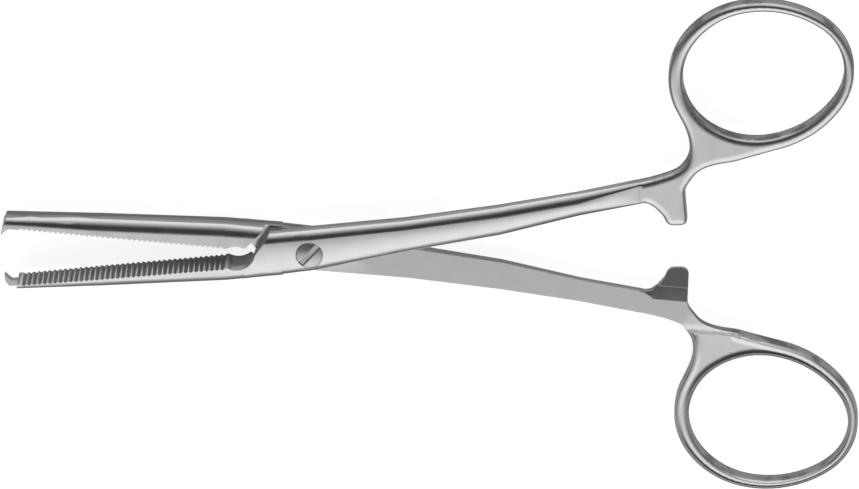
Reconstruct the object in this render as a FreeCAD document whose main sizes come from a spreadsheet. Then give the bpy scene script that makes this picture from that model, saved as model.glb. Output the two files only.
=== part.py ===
import FreeCAD, Part
import math
import os

import Sketcher
from FreeCAD import Placement, Rotation, Vector

# Ring-handled clamping forceps, 140 mm long when closed, made of two forged
# halves and a joint screw. Each half is drawn closed, in a frame whose origin is
# on the pivot axis and in the plane where the halves meet: jaw towards -X, shank
# and finger ring towards +X, lap side down. The front half keeps that attitude.
# The rear half is the same forging turned over about X. The placements then open
# both by half of the opening angle and lift them to the surface they rest on.

ABOVE = 10.0  # height over both halves from which through cuts start
PAST = 2.0  # how far the outline of a cut runs past what it cuts
TOUCH = 0.01  # edges nearer than this to a plane lie in it
UNDERCUT = 0.1  # how far a cut goes under the face that it meets
ARM_FLANK = (0.25, -1)  # direction of the ratchet arm's left edge at its tip
WEB_JOIN = 275  # where the web meets the ring, by the ring's outward normal
NECK_JOIN = 360 + 190  # where the neck meets the ring

os.makedirs("parts", exist_ok=True)
doc = FreeCAD.newDocument("hemostat_forceps")

# Driving dimensions: millimetres and degrees
SIZES = [
    ("opening_angle", 11.5, "angle between the halves as laid down"),
    ("lap_clearance", 0.06, "play between the two lap faces"),

    ("joint_height", 3.0, "thickness of one half at the joint"),
    ("joint_outer", 4.0, "outer edge of the lap above the axis"),
    ("joint_inner", 3.4, "back edge of the joint below the axis"),
    ("joint_hip", 0.15, "outer edge drawn in at the axis"),
    ("joint_waist", 0.25, "back edge drawn in at the axis"),
    ("joint_corner", 1.4, "rounding of the joint's long edges"),
    ("lap_end", 9.5, "where the lap's slanted end crosses the axis"),
    ("lap_end_angle", 49.0, "slant of the lap's end and of the shoulder"),
    ("lap_stub", 1.5, "stock past the lap's end, cut to the slant"),
    ("shoulder_gap", 0.8, "room between lap end and shoulder when closed"),

    ("jaw_length", 49.75, "pivot to jaw tip"),
    ("jaw_end_lean", 0.5, "how far the jaw's end face falls back towards the back"),
    ("jaw_tip_half_width", 2.4, "half the jaw's thickness at the tip"),
    ("jaw_tip_back", 1.15, "back of the jaw from the axis, at the tip"),
    ("jaw_tip_corner", 0.8, "rounding of the back at the tip"),
    ("jaw_middle", 33.5, "pivot to the middle jaw section"),
    ("jaw_middle_half_width", 2.75, "half thickness there"),
    ("jaw_middle_back", 2.35, "back of the jaw there"),
    ("jaw_middle_corner", 1.5, "rounding of the back there"),
    ("jaw_root", 14.0, "pivot to the jaw's root section"),
    ("jaw_root_corner", 1.6, "rounding of the back at the root"),
    ("contact_tip_offset", 0.28, "meeting line of the jaws below the axis, at the tip"),
    ("contact_root_offset", 0.50, "meeting line of the jaws below the axis, at the root"),
    ("jaw_bow", 0.30, "hollow of each jaw face at its root, so the tips meet first"),

    ("serration_start", 47.0, "pivot to the first groove"),
    ("serration_pitch", 0.85, "crest to crest"),
    ("serration_depth", 0.32, "crest to groove"),
    ("serration_end", 13.6, "pivot to the last groove"),
    ("relief_radius", 3.0, "hollow at the jaw's root"),
    ("relief_depth", 0.55, "depth of that hollow"),
    ("relief_centre", 11.7, "pivot to the middle of that hollow"),

    ("tooth_half_width", 0.6, "half thickness of the single tooth"),
    ("tooth_height", 1.25, "single tooth above the jaw face"),
    ("tooth_length", 1.45, "root of the single tooth along the jaw"),
    ("tooth_play", 0.22, "room on each side of the single tooth"),
    ("tooth_lean", 0.0, "how far the single tooth leans out past the jaw's end"),
    ("twin_height", 1.15, "pair of teeth above the jaw face"),
    ("twin_length", 1.4, "root of the paired teeth along the jaw"),
    ("twin_lean", 0.1, "how far the paired teeth lean out past the jaw's end"),
    ("tooth_land", 0.25, "blunt end of every tooth"),
    ("tooth_bury", 0.3, "root of every tooth under the jaw face"),
    ("tooth_round", 0.5, "hollow of every tooth's back, towards its root"),
    ("slot_floor", 1.15, "depth of the slot between the paired teeth at the jaw's end"),
    ("slot_rise", 0.35, "rise of that slot's floor to its inner end"),
    ("notch_length", 2.5, "side notches beside the single tooth"),
    ("notch_slant", 1.1, "how far the notch wall leans over the jaw's depth"),

    ("shank_a", 16.0, "pivot to the first shank section"),
    ("shank_a_outer", 3.75, "outer edge there"),
    ("shank_a_inner", -1.45, "inner edge there"),
    ("shank_a_height", 2.9, "thickness there"),
    ("shank_b", 31.0, "pivot to the second shank section"),
    ("shank_b_outer", 4.32, "outer edge there"),
    ("shank_b_inner", -0.35, "inner edge there"),
    ("shank_b_height", 2.6, "thickness there"),
    ("shank_c", 44.0, "pivot to the third shank section"),
    ("shank_c_outer", 5.22, "outer edge there"),
    ("shank_c_inner", 1.50, "inner edge there"),
    ("shank_c_height", 2.3, "thickness there"),
    ("shank_end", 54.0, "pivot to the end of the shank"),
    ("shank_end_outer", 6.30, "outer edge there"),
    ("shank_end_inner", 2.55, "inner edge there"),
    ("shank_proud", 0.03, "the shank stands proud of the head where they meet"),
    ("shank_end_height", 1.75, "thickness there, and top of the head above the lap"),

    ("ring_x", 76.15, "middle of the finger ring's opening along X"),
    ("ring_y", 22.62, "middle of the finger ring's opening along Y"),
    ("ring_blunt", 1.0, "widest place of the ring, nearer the shank than its middle"),
    ("ring_tilt", 5.0, "turn of the ring's long axis"),
    ("ring_opening_length", 25.95, "opening of the ring, long way"),
    ("ring_opening_width", 21.9, "opening of the ring, short way"),
    ("ring_band", 1.95, "mean radial width of the ring"),
    ("ring_shift_x", 0.40, "outer outline nearer the shank than the opening"),
    ("ring_shift_y", 0.30, "the same, across"),
    ("head_under", 1.15, "lap side of neck and ring past the meeting plane"),
    ("head_edge", 0.65, "rounding of the head's outer side"),
    ("head_bevel", 0.45, "bevel of the head's lap side"),
    ("neck_x", 62.95, "waist of the neck, outer side, along X"),
    ("neck_y", 11.3, "waist of the neck, outer side, along Y"),
    ("neck_top", 4.0, "waist to the point where the neck flares into the ring"),
    ("neck_foot", 3.0, "waist to the bend where the neck leaves the shank"),
    ("neck_flare", 0.45, "how far the flare stands back from the waist"),
    ("neck_bend", 1.4, "how far the bend stands back from the waist"),
    ("neck_rise_x", 4.5, "shank's end to the start of the bend"),
    ("neck_rise_y", 0.75, "rise of the outer edge over that length"),
    ("crotch_x", 63.7, "waist of the neck, inner side, along X"),
    ("crotch_y", 6.9, "waist of the neck, inner side, along Y"),
    ("crotch_hollow", 1.25, "size of the hollow between arm and neck"),
    ("web_x", 68.6, "point on the web's edge along X"),
    ("web_y", 8.1, "point on the web's edge along Y"),
    ("ramp_start", 7.3, "where the lap's flat ends at the neck"),
    ("ramp_radius", 2.2, "hollow rise from the flat to the neck, across"),
    ("ramp_hollow", 0.33, "how far that rise first stays low"),

    ("arm_right", 61.2, "right edge of the ratchet arm"),
    ("arm_left", 57.5, "left edge of the ratchet arm at its tip"),
    ("arm_tip", 1.85, "tip of the ratchet arm past the axis"),
    ("arm_tip_radius", 1.35, "rounding of the arm's tip"),
    ("arm_root", 3.4, "arm's right edge ends here, above the axis"),
    ("arm_lean", 0.15, "slant of the arm's right edge"),
    ("arm_flare_x", 0.65, "flare of the arm's left edge, along X"),
    ("arm_flare_y", 1.85, "flare of the arm's left edge, below the shank"),
    ("rack_left", 55.7, "left end of the ratchet's teeth"),
    ("crest_one", 1.19, "first ratchet crest from the axis"),
    ("crest_pitch", 2.44, "crest to crest"),
    ("crest_height", 0.35, "crest proud of the meeting plane"),
    ("ramp_depth", 0.80, "start of the first ramp under the meeting plane"),
    ("ramp_step", 0.15, "slant of the first tooth's steep side"),
    ("rack_bury", 0.80, "root of the ratchet's teeth in the arm"),

    ("bore_diameter", 3.3, "bore of the front half"),
    ("bore_play", 0.05, "radial play of the journal in the bore"),
    ("head_diameter", 4.2, "screw head"),
    ("head_play", 0.06, "radial play of the head in its seat"),
    ("head_seat_depth", 0.9, "depth of the seat under the near face"),
    ("head_proud", 0.12, "edge of the head above the near face"),
    ("head_dome", 0.22, "crown of the head"),
    ("head_dome_full", 0.165, "crown left halfway out to the head's edge"),
    ("seat_play", 0.04, "axial play under the head"),
    ("thread_diameter", 2.5, "threaded end of the screw"),
    ("thread_play", 0.02, "radial room round the threaded end"),
    ("slot_width", 0.95, "slot in the head"),
    ("slot_depth", 0.55, "depth of the slot"),
    ("slot_angle", 47.5, "direction of the slot as laid down"),
]

sheet = doc.addObject("Spreadsheet::Sheet", "sizes")
for row, (alias, value, note) in enumerate(SIZES, start=1):
    sheet.set(f"A{row}", alias.replace("_", " "))
    sheet.set(f"B{row}", str(value))
    sheet.setAlias(f"B{row}", alias)
    sheet.set(f"C{row}", note)
doc.recompute()


def size(alias):
    return float(sheet.get(alias))


def worth(rule):
    """The value of a rule written in the sheet's names."""
    return float(sheet.evalExpression(rule.replace("sizes.", "")))


# Helpers for sketches


def origin_plane(body, role):
    return next(plane for plane in body.Origin.OriginFeatures if plane.Role == role)


def new_sketch(body, name, role, lift=0.0, lift_rule=None, turn=0.0):
    """A sketch on one of the body's own planes, lifted along that plane's normal."""
    sketch = body.newObject("Sketcher::SketchObject", name)
    sketch.AttachmentSupport = [(origin_plane(body, role), "")]
    sketch.MapMode = "FlatFace"
    sketch.AttachmentOffset = Placement(Vector(0, 0, lift), Rotation(Vector(0, 0, 1), turn))
    if lift_rule:
        sketch.setExpression("AttachmentOffset.Base.z", lift_rule)
    return sketch


def bind(sketch, kind, label, rule, *where):
    """Adds a sized constraint, names it and ties it to the sheet."""
    index = sketch.addConstraint(Sketcher.Constraint(kind, *where, worth(rule)))
    sketch.renameConstraint(index, label)
    sketch.setExpression("Constraints." + label, rule)


def add_chain(sketch, curves, smooth=()):
    """Adds curves end to end as one closed outline; smooth lists the joints that are tangent."""
    first = sketch.addGeometry(curves[0], False)
    count = len(curves)
    for curve in curves[1:]:
        sketch.addGeometry(curve, False)
    for step in range(count):
        kind = "Tangent" if step in smooth else "Coincident"
        here, following = first + step, first + (step + 1) % count
        sketch.addConstraint(Sketcher.Constraint(kind, here, 2, following, 1))
    return first


def line(start, end):
    return Part.LineSegment(Vector(*start, 0), Vector(*end, 0))


def circle_at(centre, radius):
    return Part.Circle(Vector(*centre, 0), Vector(0, 0, 1), radius)


def spline(points, start_direction, end_direction):
    """A smooth curve through points, leaving and arriving in given directions."""
    curve = Part.BSplineCurve()
    curve.interpolate(
        Points=[Vector(x, y, 0) for x, y in points],
        InitialTangent=Vector(*start_direction, 0),
        FinalTangent=Vector(*end_direction, 0),
    )
    return curve


def polygon(sketch, points):
    """A closed outline of straight lines."""
    ends = points[1:] + points[:1]
    return add_chain(sketch, [line(a, b) for a, b in zip(points, ends)])


def rounded_section(body, name, station, left, right, base, top, corner, turn=0.0):
    """Flat-based section with two rounded top corners; every value is a sheet rule."""
    u0, u1, v0, v1, r = [worth(rule) for rule in (left, right, base, top, corner)]
    sketch = new_sketch(body, name, "YZ_Plane", worth(station), station, turn)
    arc_right = Part.ArcOfCircle(circle_at((u1 - r, v1 - r), r), 0, math.pi / 2)
    arc_left = Part.ArcOfCircle(circle_at((u0 + r, v1 - r), r), math.pi / 2, math.pi)
    first = add_chain(
        sketch,
        [
            line((u0, v0), (u1, v0)),
            line((u1, v0), (u1, v1 - r)),
            arc_right,
            line((u1 - r, v1), (u0 + r, v1)),
            arc_left,
            line((u0, v1 - r), (u0, v0)),
        ],
        smooth=(1, 2, 3, 4),
    )
    bottom, right_side, right_arc, crown, left_arc, left_side = range(first, first + 6)
    for index in (bottom, crown):
        sketch.addConstraint(Sketcher.Constraint("Horizontal", index))
    for index in (right_side, left_side):
        sketch.addConstraint(Sketcher.Constraint("Vertical", index))
    bind(sketch, "DistanceX", "left_edge", left, -1, 1, bottom, 1)
    bind(sketch, "DistanceX", "right_edge", right, -1, 1, bottom, 2)
    bind(sketch, "DistanceY", "base_edge", base, -1, 1, bottom, 1)
    bind(sketch, "DistanceY", "top_edge", top, -1, 1, crown, 1)
    bind(sketch, "Radius", "right_corner", corner, right_arc)
    bind(sketch, "Radius", "left_corner", corner, left_arc)
    return sketch


# Shapes shared by both halves


def loft(body, name, sections):
    feature = body.newObject("PartDesign::AdditiveLoft", name)
    feature.Profile = (sections[0], [""])
    feature.Sections = [(section, [""]) for section in sections[1:]]
    feature.Ruled = True
    doc.recompute()
    return feature


def pad(body, name, sketch, rule):
    feature = body.newObject("PartDesign::Pad", name)
    feature.Profile = (sketch, [""])
    feature.setExpression("Length", rule)
    doc.recompute()
    return feature


def pocket(body, name, sketch, reverse=False):
    """Cuts right through and checks that something was cut."""
    before = body.Shape.Volume
    feature = body.newObject("PartDesign::Pocket", name)
    feature.Profile = (sketch, [""])
    feature.Type = "ThroughAll"
    feature.Reversed = reverse
    doc.recompute()
    if before - body.Shape.Volume < TOUCH**2:
        raise RuntimeError(f"{name} cuts nothing")
    return feature


def oval_piece(oval, angle):
    """Centre and radius of the oval's arc whose outward normal has this angle to its long axis."""
    centre, half_near, half_far, half_short = oval
    angle = angle % 360
    near = 90 < angle < 270
    half_long = half_near if near else half_far
    lean = math.sqrt(2) - 1
    end_radius = (half_short - lean * half_long) / (1 - lean)
    side_radius = end_radius + math.sqrt(2) * (half_long - end_radius)
    at_side = 45 < angle < 135 or 225 < angle < 315
    if at_side:
        along = 0
        across = (half_short - side_radius) * (1 if angle < 180 else -1)
    else:
        along = (half_long - end_radius) * (-1 if near else 1)
        across = 0
    tilt = math.radians(size("ring_tilt"))
    middle = (
        centre[0] + along * math.cos(tilt) - across * math.sin(tilt),
        centre[1] + along * math.sin(tilt) + across * math.cos(tilt),
    )
    return middle, (side_radius if at_side else end_radius)


def oval_point(oval, angle):
    """Point and direction of travel where the oval's outward normal has this angle to its long axis."""
    middle, radius = oval_piece(oval, angle)
    turn = math.radians(angle + size("ring_tilt"))
    point = (middle[0] + radius * math.cos(turn), middle[1] + radius * math.sin(turn))
    return point, (-math.sin(turn), math.cos(turn))


def oval_arcs(oval, start, end):
    """The oval's arcs from one normal angle to another."""
    arcs = []
    tilt = size("ring_tilt")
    joints = [45 + 90 * turn for turn in range(8)] + [90 + 180 * turn for turn in range(4)]
    stops = sorted(joint for joint in joints if start < joint < end) + [end]
    for stop in stops:
        middle, radius = oval_piece(oval, (start + stop) / 2)
        circle = circle_at(middle, radius)
        arcs.append(Part.ArcOfCircle(circle, math.radians(start + tilt), math.radians(stop + tilt)))
        start = stop
    return arcs


def ring_oval(shift_x, shift_y, band):
    """The finger ring's opening, or with a band its outer outline."""
    blunt = size("ring_blunt")
    tilt = math.radians(size("ring_tilt"))
    centre = (
        size("ring_x") - blunt * math.cos(tilt) - shift_x,
        size("ring_y") - blunt * math.sin(tilt) - shift_y,
    )
    half_long = size("ring_opening_length") / 2 + band
    return centre, half_long - blunt, half_long + blunt, size("ring_opening_width") / 2 + band


def jaw(body, side):
    """Tapered jaw with a rounded back; side is 1 for the front half, -1 for the rear."""

    def face(station):
        along = f"(sizes.jaw_length - {station}) / (sizes.jaw_length - sizes.jaw_root)"
        rise = "(sizes.contact_root_offset - sizes.contact_tip_offset)"
        return f"{side} * (sizes.contact_tip_offset + {rise} * {along}) + sizes.jaw_bow * {along}"

    stations = [
        ("tip", "sizes.jaw_length", "sizes.jaw_tip_half_width", "sizes.jaw_tip_back", "sizes.jaw_tip_corner"),
        (
            "middle",
            "sizes.jaw_middle",
            "sizes.jaw_middle_half_width",
            "sizes.jaw_middle_back",
            "sizes.jaw_middle_corner",
        ),
        ("root", "sizes.jaw_root", "sizes.joint_height", "sizes.joint_inner", "sizes.jaw_root_corner"),
        ("joint", "sizes.lap_end / 2", "sizes.joint_height", "sizes.joint_inner", "sizes.joint_corner"),
    ]
    sections = [
        rounded_section(
            body,
            f"{body.Name}_jaw_{name}",
            f"-({station})",
            f"-({half})",
            half,
            face(station),
            back,
            corner,
            turn=90,
        )
        for name, station, half, back, corner in stations
    ]
    return loft(body, body.Name + "_jaw", sections)


def shank(body):
    """Joint and shank, tapering to the neck, rounded on the side away from the lap."""
    base = "sizes.lap_clearance / 2"
    high, outer, inner = "sizes.joint_height", "sizes.joint_outer", "sizes.joint_inner"
    stations = [
        (
            "lap_stub",
            "-(sizes.lap_end + sizes.lap_stub)",
            f"-{inner}",
            outer,
            high,
            "sizes.joint_corner",
        ),
        (
            "pivot",
            "0",
            f"sizes.joint_waist - {inner}",
            f"{outer} - sizes.joint_hip",
            high,
            "sizes.joint_corner",
        ),
    ]
    for name in ("shank_a", "shank_b", "shank_c", "shank_end"):
        proud = " + sizes.shank_proud" if name == "shank_end" else ""
        inset = " - sizes.shank_proud" if name == "shank_end" else ""
        corner = "sizes.head_edge" if name == "shank_end" else "sizes.joint_corner"
        alias = f"sizes.{name}"
        stations.append(
            (name, alias, f"{alias}_inner{inset}", f"{alias}_outer{proud}", f"{alias}_height{proud}", corner)
        )
    sections = [
        rounded_section(body, f"{body.Name}_{name}_section", station, left, right, base, top, corner)
        for name, station, left, right, top, corner in stations
    ]
    return loft(body, body.Name + "_shank", sections)


def head_outline():
    """Outline of neck, ratchet arm and finger ring, from the shank's end and back to it."""
    end_x, outer_y, inner_y = size("shank_end"), size("shank_end_outer"), size("shank_end_inner")
    run = end_x - size("shank_c")
    outer_slope = (outer_y - size("shank_c_outer")) / run
    inner_slope = (inner_y - size("shank_c_inner")) / run
    ring = ring_oval(size("ring_shift_x"), size("ring_shift_y"), size("ring_band"))
    low_point, low_way = oval_point(ring, WEB_JOIN)
    left_point, left_way = oval_point(ring, NECK_JOIN)
    neck_x, neck_y = size("neck_x"), size("neck_y")
    crotch_x, crotch_y, hollow = size("crotch_x"), size("crotch_y"), size("crotch_hollow")
    left_foot, tip, right_foot = arm_points()
    arm_root = (right_foot[0] + size("arm_lean"), size("arm_root"))
    flare = (left_foot[0] - size("arm_flare_x"), inner_y - size("arm_flare_y"))
    return [
        spline([(end_x, inner_y), flare, left_foot], (1, inner_slope), ARM_FLANK),
        spline([left_foot, tip, right_foot], ARM_FLANK, (0, 1)),
        line(right_foot, arm_root),
        spline(
            [
                arm_root,
                (crotch_x - hollow, crotch_y - hollow),
                (crotch_x, crotch_y),
                (size("web_x"), size("web_y")),
                low_point,
            ],
            (0, 1),
            low_way,
        ),
        *oval_arcs(ring, WEB_JOIN, NECK_JOIN),
        spline(
            [
                left_point,
                (neck_x - size("neck_flare"), neck_y + size("neck_top")),
                (neck_x, neck_y),
                (neck_x - size("neck_bend"), neck_y - size("neck_foot")),
                (end_x + size("neck_rise_x"), outer_y + size("neck_rise_y")),
                (end_x, outer_y),
            ],
            left_way,
            (-1, -outer_slope),
        ),
        line((end_x, outer_y), (end_x, inner_y)),
    ]


def arm_points():
    """Left foot, tip and right foot of the rounding at the ratchet arm's end."""
    left, right = size("arm_left"), size("arm_right")
    tip = -size("arm_tip")
    foot = tip + size("arm_tip_radius")
    return (left, foot), ((left + right) / 2, tip), (right, foot)


def head(body):
    """Neck, ratchet arm and finger ring from one plate."""
    foot = "-sizes.head_under"
    outline = new_sketch(body, body.Name + "_head_outline", "XY_Plane", worth(foot), foot)
    add_chain(outline, head_outline())
    pad(body, body.Name + "_head", outline, "sizes.head_under + sizes.shank_end_height")


def ring_opening(body):
    """The finger ring's opening, an egg with its blunt end towards the neck."""
    outline = new_sketch(body, body.Name + "_opening_outline", "XY_Plane", ABOVE)
    arcs = oval_arcs(ring_oval(0, 0, 0), -45, 315)
    add_chain(outline, arcs, smooth=range(len(arcs)))
    pocket(body, body.Name + "_opening", outline)


def rim_edges(shape, height):
    """Names of the edges round a plate's face, apart from the cut at the shank's end."""
    names = []
    for number, edge in enumerate(shape.Edges, start=1):
        box = edge.BoundBox
        at_face = abs(box.ZMin - height) < TOUCH and abs(box.ZMax - height) < TOUCH
        at_cut = abs(box.XMax - size("shank_end")) < TOUCH
        if at_face and not at_cut:
            names.append(f"Edge{number}")
    return names


def round_head(body):
    """Rounds the plate's outer side and bevels its lap side."""
    plate = body.Tip
    names = rim_edges(plate.Shape, size("shank_end_height"))
    rounding = body.newObject("PartDesign::Fillet", body.Name + "_head_rounding")
    rounding.Base = (plate, names)
    thin_half = "(sizes.ring_band - max(sizes.ring_shift_x; sizes.ring_shift_y)) / 2"
    rounding.setExpression("Radius", f"min(sizes.head_edge; 0.9 * {thin_half})")
    doc.recompute()
    names = rim_edges(rounding.Shape, -size("head_under"))
    bevel = body.newObject("PartDesign::Chamfer", body.Name + "_head_bevel")
    bevel.Base = (rounding, names)
    bevel.setExpression("Size", f"min(sizes.head_bevel; 0.8 * {thin_half})")
    doc.recompute()


def clear_lap(body):
    """Planes the head's lap side flat and lets it rise to the neck in a hollow ramp."""
    flat, start, radius = size("lap_clearance") / 2, size("ramp_start"), size("ramp_radius")
    bend = start + radius / 3
    end = start + radius
    deep = -size("head_under") - PAST
    low = -size("arm_tip") - PAST
    left = f"sizes.shank_end - {PAST}"
    profile = new_sketch(body, body.Name + "_lap_profile", "YZ_Plane", worth(left), left)
    add_chain(
        profile,
        [
            line((low, flat), (start, flat)),
            spline([(start, flat), (bend, flat - size("ramp_hollow")), (end, deep)], (1, 0), (1, -PAST)),
            line((end, deep), (low, deep)),
            line((low, deep), (low, flat)),
        ],
    )
    pocket(body, body.Name + "_lap", profile, reverse=True)


def face_height(side, station):
    """The jaw face's place across, in the half's own frame, station mm from the pivot."""
    span = size("jaw_length") - size("jaw_root")
    along = (size("jaw_length") - station) / span
    tip, root = size("contact_tip_offset"), size("contact_root_offset")
    return -(side * (tip + (root - tip) * along) + size("jaw_bow") * along)


def cut_end(body, side):
    """Slants the jaw's end face."""
    tip = -size("jaw_length")
    top, foot = face_height(side, size("jaw_length")), -size("jaw_tip_back")
    back = tip + size("jaw_end_lean")
    outline = new_sketch(body, body.Name + "_end_outline", "XY_Plane", ABOVE)
    before, under = tip - PAST, foot - PAST
    polygon(outline, [(before, top), (tip, top), (back, foot), (back, under), (before, under)])
    pocket(body, body.Name + "_end", outline)


def cut_shoulder(body):
    """Takes the lap side away behind the slanted shoulder."""
    slant = math.radians(size("lap_end_angle"))
    foot = -size("lap_end") - size("shoulder_gap") / math.sin(slant)
    low, high, far = -size("joint_inner") - PAST, PAST, size("shank_a")
    level = "sizes.lap_clearance / 2"
    outline = new_sketch(body, body.Name + "_shoulder_outline", "XY_Plane", worth(level), level)
    near_top, near_foot = foot - high / math.tan(slant), foot - low / math.tan(slant)
    polygon(outline, [(near_top, high), (near_foot, low), (far, low), (far, high)])
    pocket(body, body.Name + "_shoulder", outline)


def cut_lap_end(body, side):
    """Slants the end of the lap, down to just under the jaw's face."""
    slant = math.radians(size("lap_end_angle"))
    foot = -size("lap_end")
    left = foot - size("lap_stub") - UNDERCUT
    high = size("joint_outer") + PAST
    low = face_height(side, size("lap_end")) - UNDERCUT
    right_low, right_high = foot + low / math.tan(slant), foot + high / math.tan(slant)
    outline = new_sketch(body, body.Name + "_lap_cut_outline", "XY_Plane", ABOVE)
    polygon(outline, [(left, low), (right_low, low), (right_high, high), (left, high)])
    pocket(body, body.Name + "_lap_cut", outline)


def cut_face(body, side):
    """Cross grooves of the jaw face and the hollow at its root."""
    start, end = size("serration_start"), size("serration_end")
    pitch, depth = size("serration_pitch"), size("serration_depth")
    count = int(round((start - end) / pitch))
    points = [(-start, face_height(side, start))]
    for groove in range(count):
        middle, after = start - (groove + 0.5) * pitch, start - (groove + 1) * pitch
        points.append((-middle, face_height(side, middle) - depth))
        points.append((-after, face_height(side, after)))
    last = -points[-1][0]
    points += [(-last, face_height(side, last) + PAST), (-start, face_height(side, start) + PAST)]
    outline = new_sketch(body, body.Name + "_serration_outline", "XY_Plane", ABOVE)
    polygon(outline, points)
    pocket(body, body.Name + "_serration", outline)

    radius, centre = size("relief_radius"), size("relief_centre")
    height = face_height(side, centre) + radius - size("relief_depth")
    hollow = new_sketch(body, body.Name + "_relief_outline", "XY_Plane", ABOVE)
    circle = hollow.addGeometry(circle_at((-centre, height), radius), False)
    bind(hollow, "Radius", "hollow_radius", "sizes.relief_radius", circle)
    pocket(body, body.Name + "_relief", hollow)


def tooth_outline(face, length, height, lean):
    """Profile of a jaw tooth: hollow back, blunt end, front leaning out past the jaw's end."""
    end = -size("jaw_length")
    land, bury = size("tooth_land"), size("tooth_bury")
    heel = (end + length + bury, face - bury)
    hollow = (end + length / 2 - lean / 2, face + height / 3)
    blunt = (end - lean + land / 2, face + height)
    point = (end - lean, face + height - land)
    corner = (end, face)
    foot = (end + size("jaw_end_lean") + bury, face - bury)
    back_way, crest_way = (-1, bury), (-size("tooth_round"), 1)
    return [
        line(foot, heel),
        spline([heel, hollow, blunt], back_way, crest_way),
        line(blunt, point),
        line(point, corner),
        line(corner, foot),
    ]


def single_tooth(body):
    """One tooth on a thin tongue; the jaw is cut back on both sides of it."""
    end, half = -size("jaw_length"), size("tooth_half_width")
    face = face_height(1, size("jaw_length"))
    over, under = face + PAST, -size("jaw_tip_back") - PAST
    inner = end + size("notch_length")
    half_rule = "sizes.tooth_half_width"
    for name, lift, rule, up in (("near", half, half_rule, True), ("far", -half, "-" + half_rule, False)):
        outline = new_sketch(body, f"{body.Name}_{name}_notch_outline", "XY_Plane", lift, rule)
        foot = inner - size("notch_slant")
        polygon(outline, [(end - PAST, over), (inner, over), (foot, under), (end - PAST, under)])
        pocket(body, f"{body.Name}_{name}_notch", outline, reverse=up)
    outline = new_sketch(body, body.Name + "_tooth_outline", "XY_Plane", -half, "-" + half_rule)
    add_chain(outline, tooth_outline(face, size("tooth_length"), size("tooth_height"), size("tooth_lean")))
    pad(body, body.Name + "_tooth", outline, "2 * sizes.tooth_half_width")


def twin_teeth(body):
    """A pair of teeth flush with the jaw's sides, with a slot between them."""
    end = -size("jaw_length")
    face = face_height(-1, size("jaw_length"))
    half_slot = "(sizes.tooth_half_width + sizes.tooth_play)"
    far_side = "-sizes.jaw_tip_half_width"
    for name, rule in (("near", half_slot), ("far", far_side)):
        outline = new_sketch(body, f"{body.Name}_{name}_tooth_outline", "XY_Plane", worth(rule), rule)
        add_chain(outline, tooth_outline(face, size("twin_length"), size("twin_height"), size("twin_lean")))
        pad(body, f"{body.Name}_{name}_tooth", outline, "sizes.jaw_tip_half_width - " + half_slot)
    slot = new_sketch(body, body.Name + "_slot_outline", "XY_Plane", worth(half_slot), half_slot)
    reach = end + size("tooth_length") + size("tooth_play")
    floor = face - size("slot_floor")
    rise, over, before = floor + size("slot_rise"), face + PAST, end - PAST
    polygon(slot, [(before, over), (reach, over), (reach, rise), (end, floor), (before, floor)])
    feature = body.newObject("PartDesign::Pocket", body.Name + "_slot")
    feature.Profile = (slot, [""])
    feature.setExpression("Length", "2 * " + half_slot)
    doc.recompute()


def ratchet(body):
    """Two saw teeth on the arm, proud of the meeting plane at their crests."""
    crest, first, pitch = size("crest_height"), size("crest_one"), size("crest_pitch")
    second = first + pitch
    left, top = size("rack_left"), size("shank_end_inner") - size("rack_bury")
    left_foot, tip_point, right_foot = arm_points()
    tip = tip_point[1]
    flare = (left_foot[0] - size("arm_flare_x"), size("shank_end_inner") - size("arm_flare_y"))
    right_end = (right_foot[0] + size("arm_lean"), second)
    outline = new_sketch(body, body.Name + "_rack_outline", "XY_Plane", -crest, "-sizes.crest_height")
    add_chain(
        outline,
        [
            line((left, second), (left, top)),
            spline([(left, top), flare, left_foot], (1, -size("tooth_round")), ARM_FLANK),
            spline([left_foot, tip_point, right_foot], ARM_FLANK, (0, 1)),
            line(right_foot, right_end),
            line(right_end, (left, second)),
        ],
    )
    pad(body, body.Name + "_rack", outline, "sizes.crest_height + sizes.rack_bury")
    deep, start = -crest - PAST, tip - PAST
    slope = (crest + size("ramp_depth")) / (first - tip)
    foot = -crest + slope * pitch
    before = f"sizes.rack_left - {PAST}"
    ramps = new_sketch(body, body.Name + "_ramp_profile", "YZ_Plane", worth(before), before)
    polygon(ramps, [(first, -crest), (start, slope * (first - start) - crest), (start, deep), (first, deep)])
    pocket(body, body.Name + "_first_ramp", ramps, reverse=True)
    valley = new_sketch(body, body.Name + "_valley_profile", "YZ_Plane", worth(before), before)
    steep = (first + size("ramp_step"), foot)
    polygon(valley, [(first, -crest), steep, (second, -crest), (second, deep), (first, deep)])
    pocket(body, body.Name + "_second_ramp", valley, reverse=True)


def round_hole(body, name, lift, lift_rule, radius_rule, length_rule=None):
    """A round hole on the pivot axis, cut down from a plane."""
    outline = new_sketch(body, f"{body.Name}_{name}_outline", "XY_Plane", lift, lift_rule)
    circle = outline.addGeometry(circle_at((0, 0), worth(radius_rule)), False)
    outline.addConstraint(Sketcher.Constraint("Coincident", circle, 3, -1, 1))
    bind(outline, "Radius", "hole_radius", radius_rule, circle)
    if length_rule is None:
        return pocket(body, f"{body.Name}_{name}", outline)
    feature = body.newObject("PartDesign::Pocket", f"{body.Name}_{name}")
    feature.Profile = (outline, [""])
    feature.setExpression("Length", length_rule)
    doc.recompute()
    return feature


def forging(name, side):
    """One half, finished apart from its teeth and its hole."""
    body = doc.addObject("PartDesign::Body", name)
    body.Label = name
    for step in (head, ring_opening, round_head, clear_lap, shank):
        step(body)
    jaw(body, side)
    cut_shoulder(body)
    cut_end(body, side)
    cut_lap_end(body, side)
    cut_face(body, side)
    ratchet(body)
    return body


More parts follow.
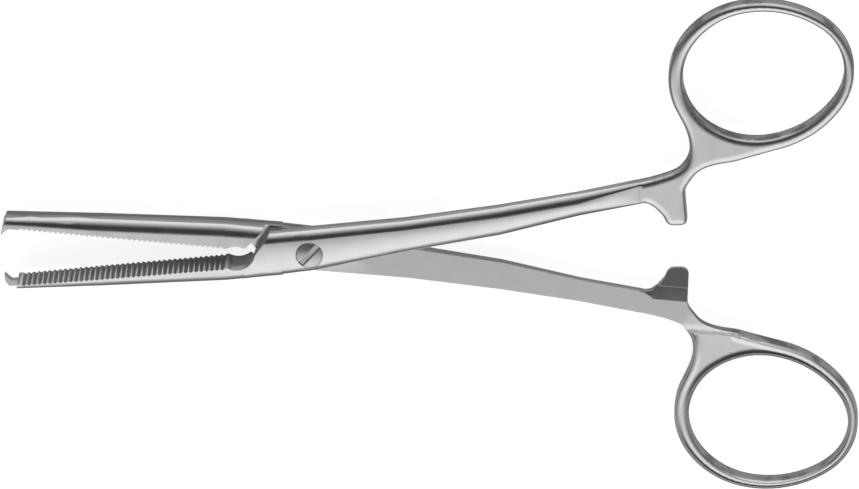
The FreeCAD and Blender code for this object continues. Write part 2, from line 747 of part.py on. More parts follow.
def joint_screw():
    """Slotted screw: domed head, plain journal and the end that holds in the rear half."""
    body = doc.addObject("PartDesign::Body", "joint_screw")
    body.Label = "joint_screw"
    top = size("joint_height")
    end = -top
    journal_foot = -size("lap_clearance") / 2
    head_foot = top - size("head_seat_depth") + size("seat_play")
    head_edge = top + size("head_proud")
    crown = head_edge + size("head_dome")
    thread, head = size("thread_diameter") / 2, size("head_diameter") / 2
    journal = size("bore_diameter") / 2 - size("bore_play")
    rim = Vector(head, head_edge, 0)
    halfway = Vector(head / 2, head_edge + size("head_dome_full"), 0)
    dome = Part.Arc(rim, halfway, Vector(0, crown, 0))
    profile = new_sketch(body, "joint_screw_profile", "XZ_Plane")
    add_chain(
        profile,
        [
            line((0, end), (thread, end)),
            line((thread, end), (thread, journal_foot)),
            line((thread, journal_foot), (journal, journal_foot)),
            line((journal, journal_foot), (journal, head_foot)),
            line((journal, head_foot), (head, head_foot)),
            line((head, head_foot), (head, head_edge)),
            dome,
            line((0, crown), (0, end)),
        ],
    )
    bind(profile, "DistanceX", "thread_radius", "sizes.thread_diameter / 2", -1, 1, 1, 1)
    bind(profile, "DistanceX", "journal_radius", "sizes.bore_diameter / 2 - sizes.bore_play", -1, 1, 3, 1)
    bind(profile, "DistanceX", "head_radius", "sizes.head_diameter / 2", -1, 1, 5, 1)
    turned = body.newObject("PartDesign::Revolution", "joint_screw_turned")
    turned.Profile = (profile, [""])
    turned.ReferenceAxis = (profile, ["V_Axis"])
    turned.Angle = 360
    doc.recompute()
    half_slot, reach = size("slot_width") / 2, head + PAST
    above = f"sizes.joint_height + sizes.head_proud + sizes.head_dome + {PAST}"
    slot = new_sketch(body, "joint_screw_slot_outline", "XY_Plane", worth(above), above)
    polygon(slot, [(-reach, -half_slot), (reach, -half_slot), (reach, half_slot), (-reach, half_slot)])
    cut = body.newObject("PartDesign::Pocket", "joint_screw_slot")
    cut.Profile = (slot, [""])
    cut.setExpression("Length", f"sizes.slot_depth + {PAST}")
    doc.recompute()
    return body


front = forging("front_half", 1)
single_tooth(front)
round_hole(front, "bore", ABOVE, None, "sizes.bore_diameter / 2")
seat_top = f"sizes.joint_height + {PAST}"
seat_radius = "sizes.head_diameter / 2 + sizes.head_play"
round_hole(front, "head_seat", worth(seat_top), seat_top, seat_radius, f"sizes.head_seat_depth + {PAST}")

rear = forging("rear_half", -1)
twin_teeth(rear)
round_hole(rear, "thread_hole", ABOVE, None, "sizes.thread_diameter / 2 + sizes.thread_play")

screw = joint_screw()

# Places: the rear half turned over under the front one, both opened about the pivot
for body, turn, flip in (
    (front, "sizes.opening_angle / 2", 0),
    (rear, "-sizes.opening_angle / 2", 180),
    (screw, "sizes.slot_angle", 0),
):
    spin = Rotation(Vector(0, 0, 1), worth(turn)) * Rotation(Vector(1, 0, 0), flip)
    body.Placement = Placement(Vector(0, 0, worth("joint_height")), spin)
    body.setExpression("Placement.Base.z", "sizes.joint_height")
doc.recompute()

for item in doc.Objects:
    if "Invalid" in item.State or "Error" in item.State:
        raise RuntimeError(f"{item.Name} did not recompute")
for body in (front, rear, screw):
    if body.Shape.isNull() or not body.Shape.isValid() or len(body.Shape.Solids) != 1:
        raise RuntimeError(f"{body.Name} is not one sound solid")
    body.Shape.exportStep(f"parts/{body.Name}.step")
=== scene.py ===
import math

import bmesh
import bpy
import numpy as np
from mathutils import Matrix, Vector


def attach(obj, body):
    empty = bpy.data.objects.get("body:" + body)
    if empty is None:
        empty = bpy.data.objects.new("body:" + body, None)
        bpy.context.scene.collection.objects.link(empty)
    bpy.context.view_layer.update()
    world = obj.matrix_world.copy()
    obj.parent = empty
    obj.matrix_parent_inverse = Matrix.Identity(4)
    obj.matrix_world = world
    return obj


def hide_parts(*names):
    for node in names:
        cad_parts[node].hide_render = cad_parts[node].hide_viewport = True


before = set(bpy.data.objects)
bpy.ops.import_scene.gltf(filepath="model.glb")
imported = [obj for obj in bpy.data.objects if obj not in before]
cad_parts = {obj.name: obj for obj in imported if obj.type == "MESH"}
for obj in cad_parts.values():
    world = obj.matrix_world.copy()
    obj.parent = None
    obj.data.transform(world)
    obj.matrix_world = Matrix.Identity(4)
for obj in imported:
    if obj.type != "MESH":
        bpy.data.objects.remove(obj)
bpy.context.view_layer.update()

MM = 0.001  # one millimetre in the scene's metres
JOINT_HEIGHT = 3.0  # millimetres from the floor to the plane where the halves meet

# Photograph: its size, the pivot's pixel, and the direction that it was taken from
PHOTO_WIDTH, PHOTO_HEIGHT = 859, 489
PIXELS_PER_MM = 6.201
PIVOT_PIXEL = (310.15, 247.95)
VIEW_TILT = math.radians(22.94)  # from straight above, towards +Y
VIEW_SIDE = math.radians(2.81)  # towards +X
VIEW_ROLL = math.radians(0.32)
VIEW_DISTANCE = 1873 * MM
VIEW_CLIP = (0.1, 20)  # nearest and farthest that the camera sees
SENSOR = 36.0
PIVOT = Vector((0, 0, JOINT_HEIGHT * MM))


def look_camera():
    """A long lens over the forceps, turned and placed as the photograph was taken."""
    back = Vector((
        math.sin(VIEW_SIDE),
        math.sin(VIEW_TILT) * math.cos(VIEW_SIDE),
        math.cos(VIEW_TILT) * math.cos(VIEW_SIDE),
    ))
    right = Vector((0, math.cos(VIEW_TILT), -math.sin(VIEW_TILT))).cross(back).normalized()
    roll = Matrix.Rotation(-VIEW_ROLL, 3, back)
    right, up = roll @ right, roll @ back.cross(right)
    off_x = (PHOTO_WIDTH / 2 - PIVOT_PIXEL[0]) / PIXELS_PER_MM * MM
    off_y = (PIVOT_PIXEL[1] - PHOTO_HEIGHT / 2) / PIXELS_PER_MM * MM
    data = bpy.data.cameras.new("camera")
    data.type = "PERSP"
    data.sensor_width = SENSOR
    data.lens = PIXELS_PER_MM / MM * VIEW_DISTANCE / PHOTO_WIDTH * SENSOR
    data.clip_start, data.clip_end = VIEW_CLIP
    camera = bpy.data.objects.new("camera", data)
    bpy.context.scene.collection.objects.link(camera)
    turn = Matrix((right, up, back)).transposed().to_4x4()
    place = PIVOT + back * VIEW_DISTANCE + right * off_x + up * off_y
    camera.matrix_world = Matrix.Translation(place) @ turn
    bpy.context.scene.camera = camera


# Small parts of node trees

def math_node(tree, operation, *values, clamp=False):
    """A math node over numbers and sockets; gives its output."""
    node = tree.nodes.new("ShaderNodeMath")
    node.operation = operation
    node.use_clamp = clamp
    for socket, value in zip(node.inputs, values):
        if isinstance(value, (int, float)):
            socket.default_value = value
        else:
            tree.links.new(value, socket)
    return node.outputs[0]


def mixed(tree, factor, first, second):
    """A colour between two others, each a socket or three numbers."""
    node = tree.nodes.new("ShaderNodeMix")
    node.data_type = "RGBA"
    tree.links.new(factor, node.inputs[0])
    for socket, colour in ((node.inputs[6], first), (node.inputs[7], second)):
        if isinstance(colour, tuple):
            socket.default_value = (*colour, 1)
        else:
            tree.links.new(colour, socket)
    return node.outputs[2]


def noise(tree, vector, scale, detail):
    node = tree.nodes.new("ShaderNodeTexNoise")
    node.inputs["Scale"].default_value = scale
    node.inputs["Detail"].default_value = detail
    tree.links.new(vector, node.inputs["Vector"])
    return node.outputs["Fac"]


def remapped(tree, value, span, result, kind="LINEAR"):
    """A value taken from one span of numbers to another."""
    node = tree.nodes.new("ShaderNodeMapRange")
    node.interpolation_type = kind
    for name, number in zip(("From Min", "From Max", "To Min", "To Max"), span + result):
        node.inputs[name].default_value = number
    tree.links.new(value, node.inputs["Value"])
    return node.outputs[0]


def painted(tree, name):
    """A value that the mesh carries at its corners."""
    node = tree.nodes.new("ShaderNodeAttribute")
    node.attribute_name = name
    return node.outputs["Fac"]


# Studio: a white surround to the eye, whose light on the steel changes with direction, and a pale floor

SKY = [  # degrees from straight up, positive towards +Y, and the brightness there
    (-180, 0.14),
    (-120, 0.26),
    (-90, 0.42),
    (-65, 0.75),
    (-45, 1.10),
    (-33, 1.02),
    (-26, 0.80),
    (-22, 0.66),
    (-19, 0.42),
    (-15, 0.14),
    (-9, 0.045),
    (14, 0.04),
    (24, 0.09),
    (36, 0.32),
    (50, 0.62),
    (64, 0.92),
    (78, 1.00),
    (92, 0.66),
    (120, 0.32),
    (180, 0.14),
]
END_LEVEL = 0.16  # brightness towards both ends of the forceps
END_FROM, END_BLEND = 0.25, 0.55  # how far along X that starts, and over how much it takes over

FLOOR_HALF = 3.0  # metres
FLOOR_GREY = 0.8
FLOOR_SEEN = 0.82  # its own light to the eye
FLOOR_MIRRORED = 0.07  # its own light in the steel


def studio_sky(tree):
    """The light round the forceps: one ramp of brightness about the X axis."""
    coords = tree.nodes.new("ShaderNodeTexCoord")
    split = tree.nodes.new("ShaderNodeSeparateXYZ")
    tree.links.new(coords.outputs["Generated"], split.inputs[0])
    x, y, z = split.outputs
    angle = math_node(tree, "ARCTAN2", y, z)
    ramp = tree.nodes.new("ShaderNodeValToRGB")
    ramp.color_ramp.interpolation = "B_SPLINE"
    tree.links.new(math_node(tree, "MULTIPLY_ADD", angle, 1 / (2 * math.pi), 0.5), ramp.inputs[0])
    stops = ramp.color_ramp.elements
    while len(stops) < len(SKY):
        stops.new(0.5)
    for stop, (degrees, level) in zip(stops, SKY):
        stop.position = degrees / 360 + 0.5
        stop.color = (level, level, level, 1)
    past = math_node(tree, "SUBTRACT", math_node(tree, "ABSOLUTE", x), END_FROM)
    end = math_node(tree, "DIVIDE", past, END_BLEND, clamp=True)
    return mixed(tree, end, ramp.outputs[0], (END_LEVEL,) * 3)


def studio_world():
    world = bpy.data.worlds.new("studio")
    bpy.context.scene.world = world
    world.use_nodes = True
    tree = world.node_tree
    tree.nodes.clear()
    sky = tree.nodes.new("ShaderNodeBackground")
    tree.links.new(studio_sky(tree), sky.inputs["Color"])
    white = tree.nodes.new("ShaderNodeBackground")
    white.inputs["Color"].default_value = (1, 1, 1, 1)
    path = tree.nodes.new("ShaderNodeLightPath")
    pick = tree.nodes.new("ShaderNodeMixShader")
    tree.links.new(path.outputs["Is Camera Ray"], pick.inputs[0])
    tree.links.new(sky.outputs[0], pick.inputs[1])
    tree.links.new(white.outputs[0], pick.inputs[2])
    out = tree.nodes.new("ShaderNodeOutputWorld")
    tree.links.new(pick.outputs[0], out.inputs["Surface"])


def floor_material():
    material = bpy.data.materials.new("floor")
    material.use_nodes = True
    tree = material.node_tree
    tree.nodes.clear()
    diffuse = tree.nodes.new("ShaderNodeBsdfDiffuse")
    diffuse.inputs["Color"].default_value = (FLOOR_GREY, FLOOR_GREY, FLOOR_GREY, 1)
    path = tree.nodes.new("ShaderNodeLightPath")
    seen = math_node(tree, "MULTIPLY", path.outputs["Is Camera Ray"], FLOOR_SEEN)
    mirrored = math_node(tree, "MULTIPLY", path.outputs["Is Glossy Ray"], FLOOR_MIRRORED)
    glow = tree.nodes.new("ShaderNodeEmission")
    tree.links.new(math_node(tree, "MAXIMUM", seen, mirrored), glow.inputs["Strength"])
    add = tree.nodes.new("ShaderNodeAddShader")
    tree.links.new(diffuse.outputs[0], add.inputs[0])
    tree.links.new(glow.outputs[0], add.inputs[1])
    out = tree.nodes.new("ShaderNodeOutputMaterial")
    tree.links.new(add.outputs[0], out.inputs["Surface"])
    return material


def make_floor():
    mesh = bpy.data.meshes.new("floor")
    signs = ((-1, -1), (1, -1), (1, 1), (-1, 1))
    mesh.from_pydata([(x * FLOOR_HALF, y * FLOOR_HALF, 0) for x, y in signs], [], [(0, 1, 2, 3)])
    floor = bpy.data.objects.new("floor", mesh)
    bpy.context.scene.collection.objects.link(floor)
    mesh.materials.append(floor_material())


# Steel: polished, with a fine grain along X, soft clouds, edges that catch the light, and painted shade in
# grooves and on edges turned from the light

BLUE = 0.005  # how much bluer than grey
POLISHED, TURNED = 0.785, 0.66  # base greys of forgings and screw
SHADE_AND_WEAR_GREY = 0.36  # base grey of the painted shade at the bottom of grooves and on edges turned from the light, and of the patches where a hand has worn the finish
POLISHED_ROUGHNESS, TURNED_ROUGHNESS = (0.10, 0.20), (0.24, 0.36)
GRAIN = {"scale": 4200, "detail": 3, "stretch": 0.15, "strength": 0.06, "height": 0.01 * MM}
CLOUD = {"scale": 420, "detail": 4, "span": (0.3, 0.7)}
PATCH = {"scale": 230, "detail": 4, "span": (0.44, 0.60), "most": 0.95}
SATIN_ROUGHNESS, SATIN_METALLIC = 0.25, -0.6  # added where the satin value is full
EDGE_RADIUS = 0.17 * MM
EDGE_SAMPLES = 4


def grey(level):
    return (level, level, level + BLUE)


def steel(name, base, roughness, marked):
    """One steel; a marked one follows the painted shade, by_hand wear and satin values of its mesh."""
    material = bpy.data.materials.new(name)
    material.use_nodes = True
    tree = material.node_tree
    links, nodes = tree.links, tree.nodes
    shader = nodes["Principled BSDF"]
    place = nodes.new("ShaderNodeTexCoord").outputs["Object"]
    rough = remapped(tree, noise(tree, place, CLOUD["scale"], CLOUD["detail"]), CLOUD["span"], roughness)

    if marked:
        patch = noise(tree, place, PATCH["scale"], PATCH["detail"])
        patch = remapped(tree, patch, PATCH["span"], (0, PATCH["most"]), "SMOOTHSTEP")
        patch = math_node(tree, "MULTIPLY", patch, painted(tree, "by_hand"))
        # painted shade (groove bottoms, edges turned from the light) and wear patches darken the base grey
        shade_and_wear = math_node(tree, "MAXIMUM", painted(tree, "painted_shade"), patch)
        links.new(mixed(tree, shade_and_wear, grey(base), grey(SHADE_AND_WEAR_GREY)), shader.inputs["Base Color"])
        satin = painted(tree, "satin")
        rough = math_node(tree, "MULTIPLY_ADD", satin, SATIN_ROUGHNESS, rough)
        links.new(math_node(tree, "MULTIPLY_ADD", satin, SATIN_METALLIC, 1), shader.inputs["Metallic"])
    else:
        shader.inputs["Base Color"].default_value = (*grey(base), 1)
        shader.inputs["Metallic"].default_value = 1
    links.new(rough, shader.inputs["Roughness"])

    stretch = nodes.new("ShaderNodeMapping")
    stretch.inputs["Scale"].default_value = (GRAIN["stretch"], 1, 1)
    links.new(place, stretch.inputs["Vector"])
    soft = nodes.new("ShaderNodeBevel")
    soft.samples = EDGE_SAMPLES
    soft.inputs["Radius"].default_value = EDGE_RADIUS
    bump = nodes.new("ShaderNodeBump")
    bump.inputs["Strength"].default_value = GRAIN["strength"]
    bump.inputs["Distance"].default_value = GRAIN["height"]
    links.new(noise(tree, stretch.outputs[0], GRAIN["scale"], GRAIN["detail"]), bump.inputs["Height"])
    links.new(soft.outputs[0], bump.inputs["Normal"])
    links.new(bump.outputs[0], shader.inputs["Normal"])
    return material


# Forgings: each half's CAD mesh again, welded and smooth, its shading turned in the half's own frame.
# That frame is the one the half was drawn in: millimetres, pivot at the origin, jaw towards -X,
# shank towards +X, outer side up.

WELD, SLIVER = 0.003 * MM, 0.002 * MM
SHARP = math.radians(24)  # a flatter edge is shaded smooth
HALF_ANGLE = math.radians(5.75)  # how far each half is opened
QUARTER = math.pi / 2
LEVEL = 0.01  # heights nearer than this are one level

# Parts of a direction that tell faces apart: upward for level faces, from strict to loose, and for
# walls; crosswise for the jaws' inner faces and for the backs; lengthwise, the most that a back has
SQUARE, FACING, FLAT = 0.999, 0.99, 0.98
UPRIGHT = 0.02
INWARD, OUTWARD = 0.2, 0.9
ENDWAYS = 0.3

# Head, which is neck and ring: its start along the part, the levels of its two flats and of its
# fillets' foot, how far walls and rims lean, and how far the crowns reach in from the rims
HEAD_START = 54.6
HEAD_TOP, HEAD_UNDER = 1.75, -1.15
FILLET_FOOT = 1.1
FINEST = 0.45 * MM  # edges inside the head's flats, after refining
REFINE_ROUNDS = 7

WALL_LEAN = math.radians(76)
WALL_BLEND = 0.1  # radians between a bevel's edges and the faces beside it
RIM_LEAN = {HEAD_TOP: math.radians(9), HEAD_UNDER: math.radians(27)}
CROWN_REACH = {HEAD_TOP: 0.7, HEAD_UNDER: 1.1}
CROWN_POWER = 1.6
RIM_BLEND = 0.12  # sides of a rim whose distances differ by about this mix their directions

# Ramp under the neck: its end as a rim of the lower flat, its span across and its end along the part,
# how much of its slope is shaded, and the directions that tell it from the bevels beside it
RAMP_RIM, RAMP_RIM_REACH = 8.9, 1.0
STRAIGHT, SHORTEST = 0.004, 1e-4  # a straight rim segment's play, and the shortest segment kept
RAMP_SPAN = (7, 9)
RAMP_END = 70.3
RAMP_LEAN = -0.10
RAMP_SIDEWAYS, RAMP_OUT, RAMP_DOWN = 0.25, -0.05, -0.4
BEVEL_DOWN = (-0.9, -0.5)

# Flat of the outer side along joint and shank: station, lower edge, upper edge
CROWN = np.array([
    (-12.0, -2.0, 2.6),
    (0.0, -1.75, 2.45),
    (16.0, -0.05, 2.35),
    (31.0, 1.05, 2.92),
    (44.0, 2.90, 3.82),
    (54.0, 3.20, 5.65),
])
CROWN_FROM, CROWN_TO, CROWN_HEIGHT = -12, 54.4, 1.6
CROWN_END, CROWN_FADE = 54, 5  # where the crown has run out, and over what length
CROWN_MIDDLE, CROWN_TURN = -2.2, 4.3  # degrees at the middle of the flat, and from there to its edges

# Jaw: where its serration lies across it, and how crests, strip, tooth and hollow are lit
JAW = {"length": 49.75, "root": 14.0, "tip_offset": 0.28, "root_offset": 0.50, "bow": 0.30}
JAW_EDGE = 0.55  # width of the strip beside the serration
JAW_LEAN = {"strip": -3, "outer": -11, "tooth": 1.2}  # degrees
TOOTH_START = -47.2
SERRATION = {"from": 13, "to": 47.6, "depth": 0.32, "up": 0.5}
CREST_DEPTH = 0.3  # of the serration's depth
CREST_KEPT, CREST_LIT = (0.3, 0, 0), (0, 0.60, 0.75)  # kept of a direction, and added to it
RELIEF = (-13.9, -9.5)  # the hollow at the jaw's root
RELIEF_EDGE, RELIEF_UP = 1, 0.3
RELIEF_KEPT, RELIEF_LIT = (1, 0.7, 0), (0, 0, 0.7)

# Shanks: the rear one's lap side, the long edges, and the ratchet's ramps
LAP = {"from": 8, "to": 62, "above": -0.6, "lean": math.radians(1.2)}
BACK_FRONT, BACK_REAR = math.radians(62), math.radians(52)  # how far the long edges turn over
BACK_MIDDLE, BACK_STEP = math.radians(98), 0.3  # the upright strip between them, and half its height
REAR_BACK_END = -4
RATCHET = {"from": 55, "to": 62, "inside": 4, "down": -0.5, "sloping": 0.15}

# Values painted on the corners
# Painted shade on rounded edges turned away from the light
EDGE_SHADE = {"shank": 6, "ring": 20, "span": 22, "up": 0.15, "sideways": 0.9}  # first three in degrees
SHANK_END = 55
HAND_START, HAND_UP = 62, 0.72  # sides of neck and ring, which don't face up or down
# Painted shade at the bottom of the serration's grooves, at full depth
GROOVE_SHADE = 0.85
GROOVE_SATIN, RATCHET_SATIN = (0.15, 0.85), 0.25  # at a crest and added at the bottom; on the ramps


def welded(name):
    bm = bmesh.new()
    bm.from_mesh(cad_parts[name].data)
    bmesh.ops.remove_doubles(bm, verts=bm.verts, dist=WELD)
    bmesh.ops.dissolve_degenerate(bm, dist=SLIVER, edges=bm.edges)
    return bm


def turned(vectors, side):
    """Directions in a half's own frame; side is 1 for the front half, -1 for the rear."""
    cosine, sine = math.cos(HALF_ANGLE), -side * math.sin(HALF_ANGLE)
    x = vectors[:, 0] * cosine - vectors[:, 1] * sine
    y = vectors[:, 0] * sine + vectors[:, 1] * cosine
    return np.stack([x, side * y, side * vectors[:, 2]], axis=1)


def turned_back(vectors, side):
    cosine, sine = math.cos(HALF_ANGLE), side * math.sin(HALF_ANGLE)
    x, y = vectors[:, 0], side * vectors[:, 1]
    return np.stack([x * cosine - y * sine, x * sine + y * cosine, side * vectors[:, 2]], axis=1)


def own_frame(points, side):
    return turned(points / MM - np.array([0, 0, JOINT_HEIGHT]), side)


def head_flats(bm, side):
    """The two flats of neck and ring: faces square to the pivot axis at the head's own levels."""
    chosen = {HEAD_TOP: [], HEAD_UNDER: []}
    for face in bm.faces:
        height = side * (face.calc_center_median().z / MM - JOINT_HEIGHT)
        for level in chosen:
            if abs(height - level) < LEVEL and abs(face.normal.z) > SQUARE:
                chosen[level].append(face)
    return chosen


def flat_faces(bm, side):
    return [face for faces in head_flats(bm, side).values() for face in faces]


def inner_edges(bm, faces):
    """Edges between two of these faces."""
    inside = set(faces)
    return [edge for edge in bm.edges if len(edge.link_faces) == 2 and inside.issuperset(edge.link_faces)]


def refine(bm, side):
    """Splits long edges inside the head's flats, so that their crowns can bend."""
    for _ in range(REFINE_ROUNDS):
        longs = [edge for edge in inner_edges(bm, flat_faces(bm, side)) if edge.calc_length() > FINEST]
        if not longs:
            break
        bmesh.ops.subdivide_edges(bm, edges=longs, cuts=1)
        bmesh.ops.triangulate(bm, faces=[face for face in flat_faces(bm, side) if len(face.verts) > 3])
        faces = flat_faces(bm, side)
        bmesh.ops.beautify_fill(bm, faces=faces, edges=inner_edges(bm, faces))


def rims(bm, side):
    """Rims of the head's flats, without the ramp's: directed segments in plan, outward on their right."""
    found = {}
    for level, faces in head_flats(bm, side).items():
        inside = set(faces)
        ends = np.array([
            (list(loop.vert.co), list(loop.link_loop_next.vert.co))
            for face in faces
            for loop in face.loops
            if not inside.issuperset(loop.edge.link_faces)
        ])
        starts, stops = own_frame(ends[:, 0], side)[:, :2], own_frame(ends[:, 1], side)[:, :2]
        if side * level < 0:
            starts, stops = stops, starts
        span = stops - starts
        at_ramp = (np.abs(span[:, 1]) < STRAIGHT) & (np.abs(starts[:, 1] - RAMP_RIM) < RAMP_RIM_REACH)
        kept = (np.linalg.norm(span, axis=1) > SHORTEST) & ~at_ramp
        found[level] = (starts[kept], stops[kept])
    return found


def nearest(points, rim):
    """Distance to a rim and the outward direction there, shorter where two sides are as near."""
    starts, stops = rim
    span = stops - starts
    length = np.linalg.norm(span, axis=1)
    outward = np.stack([span[:, 1], -span[:, 0]], axis=1) / length[:, None]
    along = np.einsum("pij,ij->pi", points[:, None] - starts, span) / length**2
    gap = starts + np.clip(along, 0, 1)[..., None] * span - points[:, None]
    size = np.linalg.norm(gap, axis=2)
    least = size.min(axis=1)
    weight = np.exp((least[:, None] - size) / RIM_BLEND) * length
    return least, weight @ outward / weight.sum(axis=1)[:, None]


def lean(way, angle):
    """Directions leaning from the half's own upward axis by an angle towards a direction in plan."""
    return np.concatenate([way * np.sin(angle)[:, None], np.cos(angle)[:, None]], axis=1)


def across(angle, sign=1, height=1):
    """Directions turned from the half's own upward axis about X, towards +Y for a positive sign."""
    return np.stack([0 * angle, sign * np.sin(angle), height * np.cos(angle)], axis=1)


def round_head(points, normals, rim):
    """Neck and ring: flats crowned towards their rims, edges and walls rounded in one sweep."""
    # up is a view of normals, so every choice below sees what the steps before it have turned
    height, up = points[:, 2], normals[:, 2]
    here = points[:, 0] > HEAD_START
    for level, sign in ((HEAD_TOP, 1), (HEAD_UNDER, -1)):
        flat = here & (np.abs(height - level) < LEVEL) & (sign * up > FLAT)
        gap, way = nearest(points[flat, :2], rim[level])
        angle = RIM_LEAN[level] * np.clip(1 - gap / CROWN_REACH[level], 0, 1) ** CROWN_POWER
        normals[flat] = lean(way, angle) * (1, 1, sign)
    way = normals[:, :2] / np.maximum(np.linalg.norm(normals[:, :2], axis=1), 1e-9)[:, None]

    fillet = here & (height > FILLET_FOOT - LEVEL) & (height < HEAD_TOP + LEVEL)
    fillet &= (up < FLAT) & (up > -UPRIGHT)
    angle = np.arccos(np.clip(up, -1, 1))
    start = RIM_LEAN[HEAD_TOP]
    normals[fillet] = lean(way, start + angle * (WALL_LEAN - start) / QUARTER)[fillet]

    wall = here & (np.abs(up) < UPRIGHT) & (height < FILLET_FOOT - LEVEL)
    normals[wall] = lean(way, np.full(len(way), math.pi - WALL_LEAN))[wall]

    ramp = here & (points[:, 1] > RAMP_SPAN[0]) & (points[:, 1] < RAMP_SPAN[1]) & (points[:, 0] < RAMP_END)
    ramp &= (np.abs(normals[:, 0]) < RAMP_SIDEWAYS) & (normals[:, 1] < RAMP_OUT) & (up < RAMP_DOWN)
    bevel = here & (up < BEVEL_DOWN[1]) & (up > BEVEL_DOWN[0]) & ~ramp
    at_rim = np.abs(height - HEAD_UNDER) < 2 * LEVEL
    angle = np.where(at_rim, math.pi - RIM_LEAN[HEAD_UNDER] - WALL_BLEND, math.pi - WALL_LEAN + WALL_BLEND)
    normals[bevel] = lean(way, angle)[bevel]
    slope = RAMP_LEAN * np.arctan2(normals[:, 1], -normals[:, 2])
    normals[ramp] = across(slope, height=-1)[ramp]


def crown_shank(points, normals):
    """The front half's outer side along joint and shank, slightly crowned across."""
    x, y = points[:, 0], points[:, 1]
    here = (x > CROWN_FROM) & (x < CROWN_TO) & (normals[:, 2] > FACING) & (points[:, 2] > CROWN_HEIGHT)
    low = np.interp(x, CROWN[:, 0], CROWN[:, 1])
    high = np.interp(x, CROWN[:, 0], CROWN[:, 2])
    part = np.clip((2 * y - low - high) / (high - low), -1, 1)
    fade = np.clip((CROWN_END - x) / CROWN_FADE, 0, 1)
    normals[here] = across(np.radians(CROWN_MIDDLE + CROWN_TURN * part) * fade)[here]


def crown_jaw(points, normals):
    """The front jaw's narrow outer side, leaning more and more towards its back, except at the tooth."""
    here = (points[:, 0] < CROWN_FROM) & (normals[:, 2] > FACING) & (points[:, 2] > 0)
    strip = points[:, 1] > face_line(points, 1) - JAW_EDGE
    degrees = np.where(strip, JAW_LEAN["strip"], JAW_LEAN["outer"])
    degrees = np.where(points[:, 0] < TOOTH_START, JAW_LEAN["tooth"], degrees)
    normals[here] = across(np.radians(degrees))[here]


def shade_shank(points, normals):
    """The rear shank's lap side, which faces up as it lies, a touch away from the light."""
    here = (points[:, 0] > LAP["from"]) & (points[:, 0] < LAP["to"])
    here &= (normals[:, 2] < -FACING) & (points[:, 2] > LAP["above"])
    normals[here] = (0, -math.sin(LAP["lean"]), -math.cos(LAP["lean"]))


def round_back(points, normals, sign, where, most):
    """A long edge that turns over less than its arc; sign is the side of the axis that it lies on."""
    outward, up = sign * normals[:, 1], normals[:, 2]
    arc = where & (outward > UPRIGHT) & (np.abs(up) > UPRIGHT) & (np.abs(normals[:, 0]) < ENDWAYS)
    wall = where & (outward > OUTWARD) & (np.abs(up) <= UPRIGHT)
    angle = np.arctan2(outward, np.abs(up)) * most / QUARTER
    normals[arc] = across(angle, sign, np.sign(up))[arc]
    height = points[:, 2]
    angle = np.select([height >= BACK_STEP, height > -BACK_STEP], [most, BACK_MIDDLE], math.pi - most)
    normals[wall] = across(angle, sign)[wall]


def face_line(points, side):
    """Where the crests of a jaw's serration lie across the jaw."""
    along = (JAW["length"] + points[:, 0]) / (JAW["length"] - JAW["root"])
    offset = JAW["tip_offset"] + (JAW["root_offset"] - JAW["tip_offset"]) * along
    return -(side * offset + JAW["bow"] * along)


def groove_depth(points, normals, side):
    """Each corner's depth in the serration, 0 at a crest and 1 at the bottom, and which lie in it."""
    station = -points[:, 0]
    here = (station > SERRATION["from"]) & (station < SERRATION["to"])
    here &= (np.abs(normals[:, 2]) < SERRATION["up"]) & (normals[:, 1] > INWARD)
    depth = np.clip((face_line(points, side) - points[:, 1]) / SERRATION["depth"], 0, 1)
    return np.where(here, depth, 0), here


def light_crests(normals, depth, in_groove):
    """Worn crests of the serration, turned to the light along their edge."""
    crest = in_groove & (depth < CREST_DEPTH)
    normals[crest] = normals[crest] * CREST_KEPT + CREST_LIT


def light_relief(points, normals):
    """The hollow at the jaw's root: its upper edge turned up. Gives the corners that lie in it."""
    here = (points[:, 0] > RELIEF[0]) & (points[:, 0] < RELIEF[1])
    here &= (np.abs(normals[:, 2]) < RELIEF_UP) & (normals[:, 1] > INWARD)
    upper = here & (points[:, 2] > RELIEF_EDGE)
    normals[upper] = normals[upper] * RELIEF_KEPT + RELIEF_LIT
    return here


def ratchet_ramps(points, normals):
    """The ratchet's ramps, ground and not polished."""
    here = (points[:, 0] > RATCHET["from"]) & (points[:, 0] < RATCHET["to"])
    here &= points[:, 1] < RATCHET["inside"]
    return here & (normals[:, 2] < RATCHET["down"]) & (np.abs(normals[:, 1]) > RATCHET["sloping"])


def painted_edge_shade(points, normals):
    """Painted shade on rounded edges that turn away from the light; normals as the half lies."""
    start = np.where(points[:, 0] < SHANK_END, EDGE_SHADE["shank"], EDGE_SHADE["ring"])
    degrees = -np.degrees(np.arctan2(normals[:, 1], normals[:, 2]))
    edge = (normals[:, 2] > EDGE_SHADE["up"]) & (np.abs(normals[:, 0]) < EDGE_SHADE["sideways"])
    return np.where(edge, np.clip((degrees - start) / EDGE_SHADE["span"], 0, 1), 0)


def finished(bm, name, material):
    """The piece's object: smooth but for its sharp edges, shaded by the size of its faces."""
    for face in bm.faces:
        face.smooth = True
    for edge in bm.edges:
        edge.smooth = edge.calc_face_angle(0) < SHARP
    mesh = bpy.data.meshes.new(name)
    bm.to_mesh(mesh)
    bm.free()
    mesh.materials.append(material)
    piece = bpy.data.objects.new(name, mesh)
    bpy.context.scene.collection.objects.link(piece)
    piece.modifiers.new("weights", "WEIGHTED_NORMAL").keep_sharp = True
    return piece


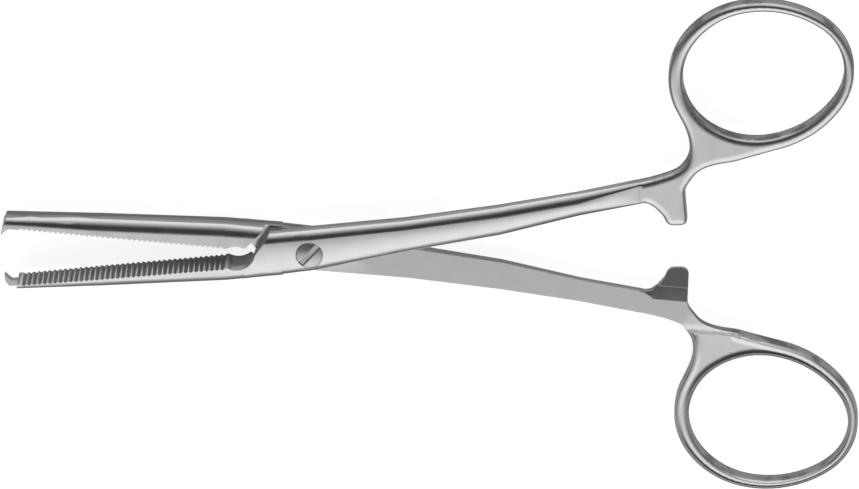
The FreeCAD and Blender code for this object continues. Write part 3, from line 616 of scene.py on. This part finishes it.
def corners_of(piece):
    """Place and weighted direction of every corner; the weighting is then taken off."""
    bpy.context.view_layer.update()
    weighted = piece.evaluated_get(bpy.context.evaluated_depsgraph_get()).data
    mesh = piece.data
    normals = np.empty(3 * len(mesh.loops), dtype=np.float32)
    weighted.corner_normals.foreach_get("vector", normals)
    corners = np.empty(len(mesh.loops), dtype=np.int32)
    mesh.loops.foreach_get("vertex_index", corners)
    places = np.empty(3 * len(mesh.vertices), dtype=np.float32)
    mesh.vertices.foreach_get("co", places)
    piece.modifiers.clear()
    return places.reshape(-1, 3)[corners].astype(float), normals.reshape(-1, 3).astype(float)


def paint(mesh, name, values):
    attribute = mesh.attributes.new(name, "FLOAT", "CORNER")
    attribute.data.foreach_set("value", values.astype(np.float32))


def half(node, name, body, side):
    """One forged half in the place of its CAD node."""
    bm = welded(node)
    refine(bm, side)
    rim = rims(bm, side)
    piece = finished(bm, name, FORGED_STEEL)
    places, directions = corners_of(piece)
    points, normals = own_frame(places, side), turned(directions, side)
    x = points[:, 0]

    depth, in_groove = groove_depth(points, normals, side)
    satin = in_groove * (GROOVE_SATIN[0] + GROOVE_SATIN[1] * depth)
    satin = np.maximum(satin, RATCHET_SATIN * ratchet_ramps(points, normals))
    paint(piece.data, "satin", np.maximum(satin, light_relief(points, normals)))
    light_crests(normals, depth, in_groove)
    if side > 0:
        crown_shank(points, normals)
        crown_jaw(points, normals)
        round_back(points, normals, 1, (x > CROWN_FROM) & (x < CROWN_END), BACK_FRONT)
    else:
        shade_shank(points, normals)
        round_back(points, normals, -1, x < REAR_BACK_END, BACK_REAR)
    round_head(points, normals, rim)

    normals = turned_back(normals, side)
    normals /= np.linalg.norm(normals, axis=1)[:, None]
    # Painted shade: darker towards the bottom of the serration's grooves and on rounded edges turned away
    # from the light
    paint(piece.data, "painted_shade", np.maximum(GROOVE_SHADE * depth, painted_edge_shade(points, normals)))
    paint(piece.data, "by_hand", (x > HAND_START) & (np.abs(normals[:, 2]) < HAND_UP))
    piece.data.normals_split_custom_set([tuple(normal) for normal in normals])
    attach(piece, body)
    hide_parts(node)


look_camera()
studio_world()
make_floor()
FORGED_STEEL = steel("polished_steel", POLISHED, POLISHED_ROUGHNESS, True)
half("front_half", "front_forging", "front", 1)
half("rear_half", "rear_forging", "rear", -1)
TURNED_STEEL = steel("turned_steel", TURNED, TURNED_ROUGHNESS, False)
screw = finished(welded("joint_screw"), "screw_turned", TURNED_STEEL)
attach(screw, "rear")
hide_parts("joint_screw")

bpy.context.scene.view_settings.view_transform = "Standard"
